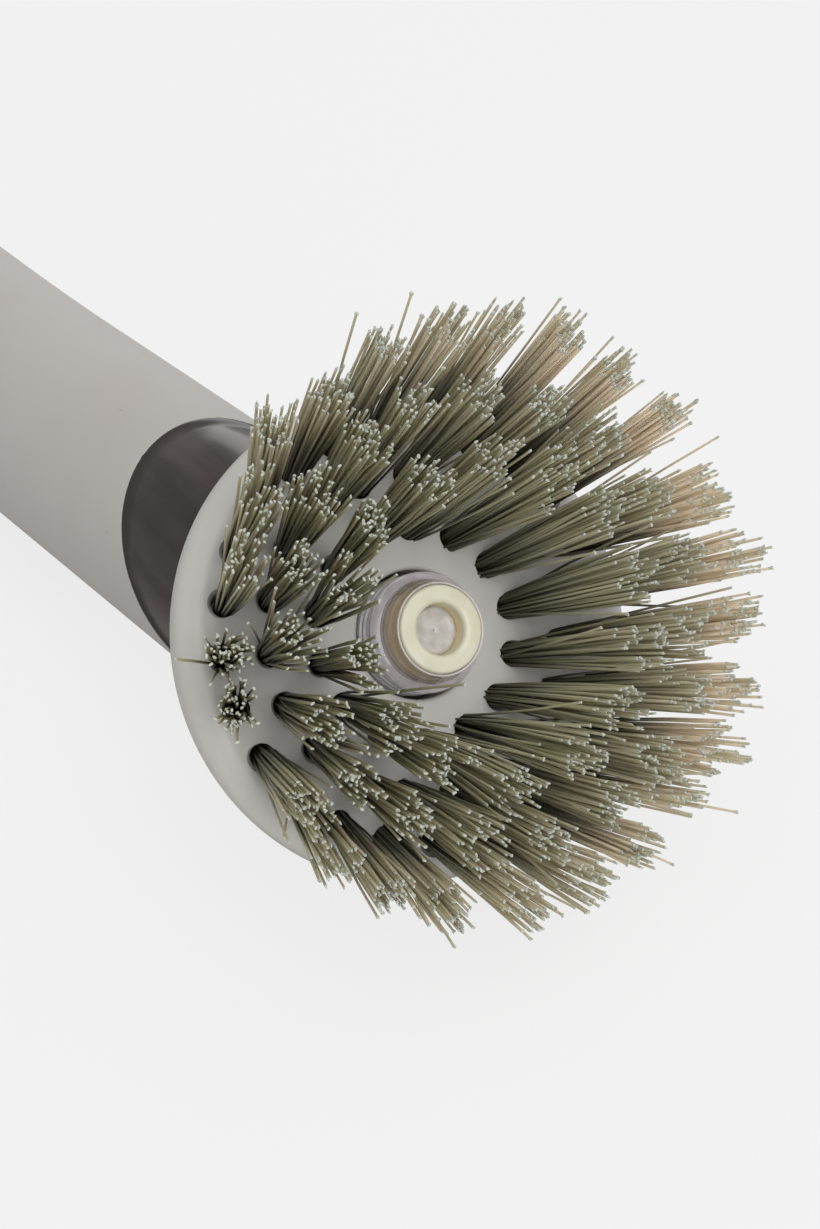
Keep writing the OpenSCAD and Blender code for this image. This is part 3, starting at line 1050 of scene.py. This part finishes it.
@dataclass
class Neck(SubAssembly):
    """The smoky neck: a loft from the grip's slanted edge to the round back of the head."""

    radius: float = 15.7
    edge_radius: float = 16.17
    end_radius: float = 14.0
    end_t: float = 8.65
    end_round: float = 0.8
    band: float = 1.4
    inside_grip: float = 3.0
    inset: float = 1.6
    boss: float = 9.0
    boss_t: float = 11.0
    bore: float = 7.45
    bore_t: float = 3.0
    centre: float = 0.3
    steps: int = 34

    def cut(self) -> float:
        """Where the grip's slanted edge lies along the head's axis, in mm from the bend."""
        return -Grip.front * math.cos(WAND.tilt())

    def section(self, t: float, radius: float) -> tuple[float, float, Vector]:
        """Half axes and middle of the neck at a distance t along the head's axis.

        Args:
            t: Distance in mm.
            radius: Radius of the neck as it leaves the grip.

        Returns:
            Half axis along X, half axis along Y, and the middle.
        """
        tilt = WAND.tilt()
        start = self.cut() + self.band
        w = ease((t - start) / (self.end_t - start))
        middle = Vector((t * math.tan(tilt) * (1 - w), 0, t))
        end = w * self.end_radius
        return (1 - w) * radius / math.cos(tilt) + end, (1 - w) * radius + end, middle

    def build(self) -> None:
        """Models the neck."""
        cut = self.cut()
        edge = self.edge_radius
        turner = Turner("smoky_neck", 144)
        turner.start(*self.section(cut - self.inside_grip, self.centre))
        inside = edge - self.inset
        for depth, radius in ((self.inside_grip, inside), (0.3, inside), (0.3, edge - 0.15), (0.15, edge)):
            turner.go(*self.section(cut - depth, radius))
        rounds = 10
        for i in range(1, rounds + 1):
            falls = (1 + math.cos(math.pi * i / rounds)) / 2
            radius = self.radius + (edge - self.radius) * falls
            turner.go(*self.section(cut + self.band * i / rounds, radius))
        start = cut + self.band
        end = self.end_t - self.end_round
        for i in range(1, self.steps + 1):
            turner.go(*self.section(start + (end - start) * i / self.steps, self.radius))
        behind = arc((self.end_radius - self.end_round, end), (self.end_round, self.end_round), 15, 90, 5)
        behind += [(self.boss, self.end_t), (self.boss, self.boss_t), (self.bore, self.boss_t)]
        behind += [(self.bore, self.bore_t), (self.centre, self.bore_t)]
        for r, t in behind:
            turner.circle(r, t)
        piece = turner.finish(False, WAND.along_head(), 38.0)
        self.dress(piece, Body.WAND, "smoke", "neck_housing")


@dataclass
class Nozzle(SubAssembly):
    """The clear barrel with its rings, the cream valve ring and the silicone valve."""

    barrel: float = 7.35
    barrel_tip: float = 5.7
    barrel_waist: float = 6.3
    ring: float = 5.34
    bore: float = 3.05
    tip: float = 23.8
    thread_low: float = 13.0
    thread_pitch: float = 1.5
    threads: int = 4

    def _threads(self) -> list[Point2]:
        """Lists the profile of the barrel's raised rings, each with rounded flanks.

        Returns:
            Radius and height of each station, in mm.
        """
        ring = ((0.42, 0.0), (0.42, 0.45), (0.1, 0.62), (0.0, 0.8), (0.0, 1.2), (0.1, 1.38))
        return [(self.barrel - drop, self.thread_low + i * self.thread_pitch + rise)
                for i in range(self.threads) for drop, rise in ring]

    def build(self) -> None:
        """Models the nozzle's pieces."""
        place = WAND.along_head()
        foot, waist, inside = 2.3, self.barrel_waist, self.ring + 0.05
        wall = [(foot, 2), (4.2, 2), (4.2, 4.4), (self.barrel, 4.4), (self.barrel, 7)]
        wall += [(6.35, 7), (6.35, 8.1), (self.barrel, 8.1)]
        wall += self._threads()
        wall += arc((self.barrel - 0.5, 19.2), (0.5, 0.5), 0, 60, 3)
        wall += [(waist, 19.9), (waist, 20.6), (waist - 0.12, 21.3), (self.barrel_tip, 22.2)]
        wall += arc((self.barrel_tip - 0.14, self.tip - 0.37), (0.14, 0.14), 0, 180, 6)
        wall += [(inside, self.tip - 0.6), (inside, 17.5), (4.4, 17.5), (4.4, 5.4), (foot, 5.4)]
        barrel = turn("clear_nozzle_barrel", wall, place)
        self.dress(barrel, Body.WAND, "clear", "nozzle_barrel")
        cream = [(self.bore, 18.5), (self.ring, 18.5)]
        cream += arc((self.ring - 0.4, self.tip - 0.4), (0.4, 0.4), 0, 90, 5)
        cream += [(self.bore + 0.75, self.tip)]
        cream += arc((self.bore + 0.75, self.tip - 0.55), (0.7, 0.55), 90, 180, 5)[1:]
        cream += [(self.bore, self.tip - 1.3)]
        ring = turn("cream_valve_ring", cream, place)
        self.dress(ring, Body.WAND, "cream", "valve_ring")
        lip = self.bore + 0.03
        valve = [(2.1, 17.55), (self.ring - 0.1, 17.55), (self.ring - 0.1, 18.45), (lip, 18.45), (lip, 21.3)]
        valve += [(2.95, 21.42), (2.7, 21.62), (2.45, 21.68), (2.2, 21.6), (1.9, 21.5), (1.2, 21.52)]
        valve += [(0.6, 21.58), (0.2, 21.56), (0.09, 21.5), (0.08, 21.2)]
        valve += [(0.9, 21.1), (1.8, 20.9), (2.1, 20.6)]
        slit = turn("silicone_slit_valve", valve, place)
        self.dress(slit, Body.WAND, "silicone", "slit_valve")


@dataclass(frozen=True)
class TuftRing:
    """One ring of tufts: its radius, count, first angle and lean, as in the solid model.

    bent holds the tufts that use has bent: by number, how far their tips stand off in mm, in the head's
    frame. tan says how strongly the ring's strands let warm light through, most of all round the angle
    tan_side.
    """

    name: str
    radius: float
    count: int
    first: float
    lean: float
    tan: float
    bent: dict[int, Point2]
    tan_side: float = 75.0

    def place(self, index: int, face: float) -> Matrix:
        """Matrix of one tuft, Z along it.

        Args:
            index: The tuft's number in the ring.
            face: Distance of the head's face from the bend, in mm.

        Returns:
            The matrix to the row frame.
        """
        turned = Matrix.Rotation(math.radians(self.angle(index)), 4, "Z")
        moved = Matrix.Translation((self.radius * MM, 0, 0))
        return WAND.along_head(face) @ turned @ moved @ Matrix.Rotation(math.radians(self.lean), 4, "Y")

    def angle(self, index: int) -> float:
        """The tuft's angle round the head, in degrees."""
        return self.first + 360 * index / self.count

    def warmth(self, index: int) -> float:
        """How warm a tuft's light is, from 0 to the ring's most."""
        return self.tan * (0.62 + 0.38 * math.cos(math.radians(self.angle(index) - self.tan_side)))

    def stand_off(self, index: int) -> Vector:
        """How far a bent tuft's tip stands off, in its own frame, in mm."""
        x, y = self.bent.get(index, (0.0, 0.0))
        return Matrix.Rotation(-math.radians(self.angle(index)), 3, "Z") @ Vector((x, y, 0.0))


RINGS = (
    TuftRing("inner", 13.0, 14, 1.1, 13.0, 0.16, {}),
    TuftRing("middle", 19.2, 19, 3.6, 14.5, 0.42, {13: (-0.6, 0.8), 14: (0.8, 0.8)}),
    TuftRing("outer", 25.0, 25, 4.5, 19.5, 1.0, {
        0: (-2.2, -0.2), 1: (-2.3, -0.8), 2: (-2.3, -1.5), 3: (-1.7, -1.8), 4: (-1.1, -2.0), 5: (-0.5, -1.9),
        6: (0.0, -1.5), 7: (-1.2, -0.6), 8: (-1.4, -0.9), 9: (-1.4, -0.5), 10: (-0.5, -0.7), 11: (0.7, -0.5),
        12: (0.6, 0.0), 13: (1.8, -0.4), 15: (0.2, 2.0), 16: (0.5, 2.5), 18: (-1.6, 0.9), 19: (3.4, 1.4),
        22: (-0.3, 0.2), 23: (-1.1, 0.5), 24: (-2.0, 0.3),
    }),
)


@dataclass
class BrushHead(SubAssembly):
    """The head's plate, drilled for its tufts, and its back cover."""

    radius: float = 30.0
    flat: float = 27.0
    face: float = 16.7
    back: float = 8.7
    parting: float = 11.6
    centre_hole: float = 7.9
    hole: float = 1.5
    seam: float = 0.12
    rim_height: float = 0.8
    shoulder: float = 6.0
    recess: float = 9.07
    recess_top: float = 11.1

    def _edge(self) -> tuple[float, float]:
        """Heights of the rim's widest band, upper and lower."""
        rim = self.face - (self.radius - self.flat)
        return rim, rim - self.rim_height

    def _behind(self, t: float) -> float:
        """Radius of the flatter round behind the rim.

        Args:
            t: Distance in front of the bend, in mm.

        Returns:
            The radius in mm.
        """
        wall = self._edge()[1]
        depth = (wall - t) / (wall - self.back)
        return self.radius - self.shoulder + self.shoulder * math.sqrt(max(1 - depth * depth, 0.0))

    def _drills(self) -> bpy.types.Object:
        """Models all the tuft holes as one cutter, each flared a little at the face.

        Returns:
            The cutter, in place.
        """
        hole = self.hole
        profile = [(0, -5.0), (hole, -5.0), (hole, -0.45), (hole + 0.1, -0.12), (hole + 0.4, 0.3)]
        profile += [(hole + 0.4, 3.0), (0, 3.0)]
        first = turn("drills", profile, Matrix.Identity(4), False, 36)
        copies = []
        for ring in RINGS:
            for index in range(ring.count):
                copy = first.copy()
                copy.data = first.data.copy()
                bpy.context.scene.collection.objects.link(copy)
                copy.data.transform(ring.place(index, self.face))
                copies.append(copy)
        pick(copies[0])
        for copy in copies[1:]:
            copy.select_set(True)
        bpy.ops.object.join()
        bpy.data.objects.remove(first)
        return copies[0]

    def build(self) -> None:
        """Models the plate and the cover."""
        rim, wall = self._edge()
        place = WAND.along_head()
        profile = [(self.centre_hole, self.parting)]
        profile += arc((self.centre_hole + 0.5, self.face - 0.5), (0.5, 0.5), 180, 90, 4)
        profile += [(11.0, self.face), (16.0, self.face), (22.0, self.face)]
        profile += arc((self.flat, rim), (self.radius - self.flat, self.face - rim), 90, 0, 14)
        profile += [(self._behind(wall - 0.4 * i), wall - 0.4 * i) for i in range(3)]
        edge = self._behind(self.parting)
        profile += [(edge, self.parting + self.seam), (edge - 0.35, self.parting + 0.02)]
        profile += [(edge - 1.5, self.parting)]
        plate = turn("drilled_brush_plate", profile, place, True, 192)
        carve(plate, self._drills())
        smooth(34)
        self.dress(plate, Body.HEAD, "head_plastic", "brush_plate")
        count = 12
        top = self.parting - self.seam
        heights = [top - (top - self.back) * math.sin(math.pi / 2 * i / count) for i in range(1, count + 1)]
        behind = [(edge - 0.35, self.parting - 0.02), (edge, top)]
        behind += [(self._behind(t), t) for t in heights]
        behind += [(9.4, self.back), (self.recess, self.back + 0.3), (self.recess, self.recess_top)]
        behind += [(self.centre_hole, self.recess_top), (self.centre_hole, self.parting - 0.02)]
        cover = turn("head_back_cover", behind, place, True, 192)
        self.dress(cover, Body.HEAD, "head_plastic", "back_cover")


@dataclass(frozen=True)
class Clump:
    """A few strands that stick together: how far their tips stand off and how much longer they are."""

    side: Vector
    longer: float


@dataclass
class Tuft:
    """One tuft's place and shape, from which each of its strands is set out."""

    place: Matrix
    lean: float
    stand_off: Vector
    spread: Point2
    phase: float
    clumps: list[Clump]
    core: float = 0.38

    def clump(self, spot: Point2) -> Clump:
        """Finds the clump that a strand belongs to.

        Args:
            spot: The strand's place in the tuft's unit disc.

        Returns:
            The clump.
        """
        if math.hypot(*spot) < self.core:
            return self.clumps[0]
        share = (math.atan2(spot[1], spot[0]) + self.phase) / math.tau % 1.0
        return self.clumps[1 + int(share * (len(self.clumps) - 1))]


def scatter(rng: random.Random, size: float) -> Vector:
    """A random shift sideways, of which two thirds are shorter than size along each axis."""
    return Vector((rng.gauss(0, size), rng.gauss(0, size), 0))


@dataclass
class Bristles(SubAssembly):
    """All the strands of one ring of tufts, each a thin, slightly bowed rod with a burst, pale tip."""

    ring: TuftRing
    seed: int
    strands: int = 60
    height: float = 24.0
    deep: float = 4.6
    root_radius: float = 1.2
    spread: float = 2.7
    thickness: float = 0.158
    sides: int = 6
    burst: float = 0.98
    loose: float = 0.4
    stray: float = 1.7
    stray_share: float = 0.06
    uneven: float = 0.45
    odd: Point2 = (-4.0, 1.2)
    odd_share: float = 0.08
    longest: float = 1.0
    bow: float = 0.16
    bow_out: float = 0.12

    def template(self) -> tuple[list[Vector], list[tuple[int, ...]]]:
        """One strand of unit length and radius, modelled once.

        Returns:
            Its points and its faces.
        """
        large = 1000.0
        turner = Turner("strand", self.sides)
        stations = [(1.0, 0.35), (1.0, 0.7), (1.0, 0.978), (1.05, 0.988), (1.16, 0.996), (1.08, 1.0)]
        turner.start(large, large, Vector((0, 0, 0)))
        for r, z in stations:
            turner.circle(r * large, z * large)
        bpy.ops.mesh.edge_face_add()
        piece = turner.finish(False, Matrix.Identity(4))
        points = [v.co.copy() for v in piece.data.vertices]
        faces = [tuple(p.vertices) for p in piece.data.polygons]
        bpy.data.objects.remove(piece)
        return points, faces

    def _roots(self, rng: random.Random) -> list[Point2]:
        """Scatters the strands evenly in a unit disc, on a sunflower spiral with some jitter.

        Args:
            rng: The ring's random numbers.

        Returns:
            The strands' places.
        """
        golden = math.pi * (3 - math.sqrt(5))
        spots = []
        for i in range(self.strands):
            r = math.sqrt((i + 0.5) / self.strands) * rng.uniform(0.92, 1.05)
            a = i * golden + rng.uniform(-0.12, 0.12)
            spots.append((r * math.cos(a), r * math.sin(a)))
        return spots

    def _tuft(self, rng: random.Random, index: int) -> Tuft:
        """Draws one tuft's shape.

        Args:
            rng: The ring's random numbers.
            index: The tuft's number.

        Returns:
            The tuft.
        """
        lean = math.radians(self.ring.lean)
        off = self.ring.stand_off(index) + scatter(rng, 0.4)
        spread = (self.spread * rng.uniform(0.85, 1.1), self.spread * rng.uniform(0.92, 1.18))
        clumps = [Clump(scatter(rng, 0.45), rng.gauss(0, 0.8)) for _ in range(rng.randint(5, 7))]
        place = self.ring.place(index, BrushHead.face)
        return Tuft(place, lean, off, spread, rng.uniform(0, math.tau), clumps)

    def _strand(self, rng: random.Random, spot: Point2, tuft: Tuft, points: list[Vector]) -> list[Vector]:
        """Sets out one strand from the template.

        Args:
            rng: The ring's random numbers.
            spot: Where it stands in its tuft's unit disc.
            tuft: Its tuft.
            points: The template's points.

        Returns:
            The strand's points in the row frame.
        """
        x, y = spot
        clump = tuft.clump(spot)
        loose = self.stray if rng.random() < self.stray_share else self.loose
        side = tuft.stand_off + clump.side + scatter(rng, loose)
        tip = Vector((x * tuft.spread[0], y * tuft.spread[1], 0)) + side
        longer = clump.longer + rng.gauss(0, self.uneven)
        if rng.random() < self.odd_share:
            longer += rng.uniform(*self.odd)
        tip.z = (self.height + min(longer, self.longest) + tip.x * math.sin(tuft.lean)) / math.cos(tuft.lean)
        root = Vector((x * self.root_radius, y * self.root_radius, -self.deep))
        bow = scatter(rng, self.bow) + Vector((x, y, 0)) * self.bow_out
        axis = (tip - root).normalized()
        across = axis.orthogonal().normalized()
        other = axis.cross(across)
        thick = self.thickness * rng.uniform(0.9, 1.1)
        spin = rng.uniform(0, math.tau)
        wide, narrow = rng.uniform(1.0, 1.6), rng.uniform(0.5, 0.95)
        placed = []
        for p in points:
            x, y, lift = p.x, p.y, 0.0
            if p.z > self.burst + 0.01:
                x, y, lift = p.x * wide * rng.uniform(0.8, 1.2), p.y * narrow, rng.uniform(-0.14, 0.14)
            px = (x * math.cos(spin) - y * math.sin(spin)) * thick
            py = (x * math.sin(spin) + y * math.cos(spin)) * thick
            middle = root.lerp(tip, p.z) + bow * (4 * p.z * (1 - p.z)) + axis * lift
            placed.append(tuft.place @ ((middle + across * px + other * py) * MM))
        return placed

    def build(self) -> None:
        """Models the ring's strands as one piece."""
        rng = random.Random(self.seed)
        name = self.ring.name
        points, faces = self.template()
        vertices: list[Vector] = []
        polygons: list[tuple[int, ...]] = []
        tones: list[float] = []
        for index in range(self.ring.count):
            tuft = self._tuft(rng, index)
            for spot in self._roots(rng):
                first = len(vertices)
                vertices += self._strand(rng, spot, tuft, points)
                polygons += [tuple(first + i for i in face) for face in faces]
                tone = self.ring.warmth(index) * (0.85 - 0.3 * spot[0]) + rng.uniform(-0.12, 0.14)
                tones += [min(max(tone, 0.0), 1.0)] * len(points)
        mesh = bpy.data.meshes.new(f"bristles_{name}")
        mesh.from_pydata(vertices, [], polygons)
        positions = [p.z for p in points] * (len(vertices) // len(points))
        for attribute, values in (("along", positions), ("tone", tones)):
            mesh.attributes.new(attribute, "FLOAT", "POINT").data.foreach_set("value", values)
        piece = bpy.data.objects.new(f"bristles_{name}", mesh)
        bpy.context.scene.collection.objects.link(piece)
        pick(piece)
        smooth(50)
        self.dress(piece, Body.HEAD, "bristle", f"tufts_{name}")


@dataclass
class Tail(SubAssembly):
    """The smoky collar and the screw cap with its finger tab."""

    grip_end: float = Grip.end
    collar: float = 3.0
    mouth: float = 10.0
    skirt: float = 3.0
    rounding: float = 3.0
    edge: float = 0.3
    tab_s: float = 185.0
    tab_radius: float = 9.0
    tab_width: float = 10.0
    hole: float = 3.5

    def start(self) -> float:
        """Where the collar ends and the cap starts, in mm behind the bend."""
        return self.grip_end + self.collar

    def _collar(self) -> None:
        """Models the collar, with a small round on both visible edges."""
        start, edge, inner = self.start(), self.edge, tail_radius() - self.edge
        profile = [(self.mouth, 160), (12.55, 160), (12.55, 168), (14.4, 168), (14.4, self.grip_end)]
        profile += [(tail_radius() - 0.6, self.grip_end)]
        profile += arc((inner, self.grip_end + edge), (edge, edge), -90, 0, 3)
        profile += arc((inner, start - edge), (edge, edge), 0, 90, 3)
        profile += [(self.mouth, start)]
        piece = turn("smoky_tail_collar", profile, WAND.along_handle(), True, 160)
        self.dress(piece, Body.WAND, "smoke", "tail_collar")

    def _tab(self) -> bpy.types.Object:
        """Models the rounded finger tab.

        Returns:
            The tab, cut off flat inside the cap.
        """
        root = self.start() + 3.0
        half = self.tab_width / 2
        length = 2 * (self.tab_s - self.start() + self.tab_radius) - 6.0
        turned = Matrix.Rotation(math.pi / 2, 4, "X")
        tab = stadium("tab", length, 2 * self.tab_radius, -half, half, turned)
        tab.data.transform(Matrix.Translation(WAND.bend + Vector((-root * MM, 0, 0))))
        soften(tab, 1.6, 35, 5)
        keep = turn("keep", [(0, root), (25, root), (25, 220), (0, 220)], WAND.along_handle(), False, 64)
        carve(tab, keep, "INTERSECT")
        return tab

    def _drill(self) -> bpy.types.Object:
        """Models the cutter of the hanging hole, flared at both mouths.

        Returns:
            The cutter, in place.
        """
        half, hole = self.tab_width / 2, self.hole
        profile = [(0, -half - 1), (hole + 1.6, -half - 1), (hole + 0.6, -half), (hole, -half + 0.6)]
        profile += [(hole, half - 0.6), (hole + 0.6, half), (hole + 1.6, half + 1), (0, half + 1)]
        middle = WAND.bend + Vector((-(self.tab_s + 1.0) * MM, 0, 0))
        place = Matrix.Translation(middle) @ Matrix.Rotation(math.pi / 2, 4, "X")
        return turn("drill", profile, place, False, 64)

    def _cap(self) -> None:
        """Models the cap: a turned body, a rounded finger tab and the hanging hole."""
        start, edge, tail = self.start(), self.edge, tail_radius()
        plug, groove = self.mouth - 0.07, self.mouth + 3.6
        profile = [(0, start - 14), (plug - 0.7, start - 14), (plug, start - 13.3), (plug, start + 1.4)]
        profile += [(groove, start + 1.4), (groove, start + 0.02), (tail - 0.4, start + 0.02)]
        profile += arc((tail - edge, start + edge + 0.02), (edge, edge), -90, 0, 3)
        profile += arc((tail - self.rounding, start + self.skirt), (self.rounding, self.rounding), 0, 90, 10)
        profile += [(0, start + self.skirt + self.rounding)]
        cap = turn("screw_cap", profile, WAND.along_handle(), False, 160)
        carve(cap, self._tab(), "UNION")
        carve(cap, self._drill())
        smooth(30)
        self.dress(cap, Body.CAP, "cap_grey", "filler_cap")

    def build(self) -> None:
        """Models the tail's pieces."""
        self._collar()
        self._cap()


@dataclass
class Insides(SubAssembly):
    """The solid model's own pieces, of which those that nothing replaces stay and only get a finish."""

    def build(self) -> None:
        """Gives every node the finish of its slot."""
        slots = {part["node"]: part["material_slot"] for part in frame["record"]["subparts"]}
        for name, node in frame["nodes"].items():
            self.finishes.give(node, slots[name])


@dataclass
class Studio:
    """The floor, the lights and the camera at the photograph's place."""

    camera_place: Point3 = (204.0, -113.8, 178.4)
    right: Point3 = (0.593, 0.794, -0.137)
    up: Point3 = (-0.421, 0.449, 0.789)
    back: Point3 = (0.687, -0.410, 0.599)
    focal_pixels: float = 2300.0
    long_side_pixels: float = 1229.0
    sensor: float = 36.0
    background: Colour = srgb(241, 241, 241)
    ambient: float = 0.58
    floor_size: float = 12.0

    def camera(self) -> None:
        """Adds the camera."""
        data = bpy.data.cameras.new("camera")
        data.sensor_width = self.sensor
        data.lens = self.focal_pixels / self.long_side_pixels * self.sensor
        data.clip_start = 0.01
        camera = bpy.data.objects.new("camera", data)
        turned = Matrix((self.right, self.up, self.back)).transposed().to_4x4()
        camera.matrix_world = Matrix.Translation(WAND.bend + Vector(self.camera_place) * MM) @ turned
        bpy.context.scene.collection.objects.link(camera)
        bpy.context.scene.camera = camera

    def floor(self) -> None:
        """Adds the floor: pale to the camera, dim in the gloss of the pieces, with a very faint shadow."""
        deselect()
        bpy.ops.mesh.primitive_plane_add(size=self.floor_size, location=(0, 0, -0.0002))
        piece = bpy.context.object
        piece.name = "floor"
        shader = Shader("floor_paper")
        shader.set(Base_Color=self.background, Roughness=0.9, Specular_IOR_Level=0.1)
        path = shader.node("ShaderNodeLightPath")
        glossy = shader.wire(path, "Is Glossy Ray")
        glow = shader.node("ShaderNodeEmission", Color=self.background, Strength=1.0 - 0.85 * glossy)
        seen = shader.wire(path, "Is Camera Ray") * 0.9 + glossy * 0.75
        seen = seen + shader.wire(path, "Is Transmission Ray") * 0.9
        shader.blend(glow, seen)
        piece.data.materials.append(shader.material)

    def lamp(self, name: str, place: Point3, size: float, power: float, aim: Vector) -> None:
        """Adds one soft square lamp.

        Args:
            name: The lamp's name.
            place: Where it hangs, in metres.
            size: Its side, in metres.
            power: Its power in watts.
            aim: What it points at.
        """
        data = bpy.data.lights.new(name, "AREA")
        data.size = size
        data.energy = power
        lamp = bpy.data.objects.new(name, data)
        lamp.location = place
        lamp.rotation_mode = "QUATERNION"
        lamp.rotation_quaternion = (aim - Vector(place)).to_track_quat("-Z", "Y")
        bpy.context.scene.collection.objects.link(lamp)

    def world(self) -> None:
        """Adds the plain white surroundings, which show as pale as the floor."""
        world = bpy.data.worlds.new("studio")
        world.use_nodes = True
        tree = world.node_tree
        path = Wire(tree, tree.nodes.new("ShaderNodeLightPath").outputs["Is Camera Ray"])
        ground = tree.nodes["Background"]
        ground.inputs["Color"].default_value = (1.0, 1.0, 1.0, 1.0)
        strength = self.ambient + (self.background[0] - self.ambient) * path
        tree.links.new(strength.socket, ground.inputs["Strength"])
        bpy.context.scene.world = world

    def build(self) -> None:
        """Sets the stage."""
        self.camera()
        self.floor()
        aim = WAND.bend.copy()
        self.lamp("overhead", (0.35, 0.15, 1.2), 0.9, 3.4, aim)
        self.lamp("front", tuple(aim + Vector((0.80, -0.12, 0.62))), 0.7, 6.0, aim)
        self.lamp("behind", tuple(aim + Vector((-0.52, 0.62, 0.38))), 0.4, 0.85, aim)
        self.world()
        bpy.context.scene.view_settings.view_transform = "Standard"


def main() -> None:
    """Builds the stage, then the wand's sub-assemblies in order."""
    logging.basicConfig(level=logging.INFO, format="%(message)s")
    Studio().build()
    finishes = Finishes()
    for assembly in (Insides, Grip, ThumbButton, Neck, Nozzle, BrushHead):
        assembly(finishes).build()
    for index, ring in enumerate(RINGS):
        Bristles(finishes, ring, seed=41 + index).build()
    Tail(finishes).build()


if __name__ == "__main__":
    main()
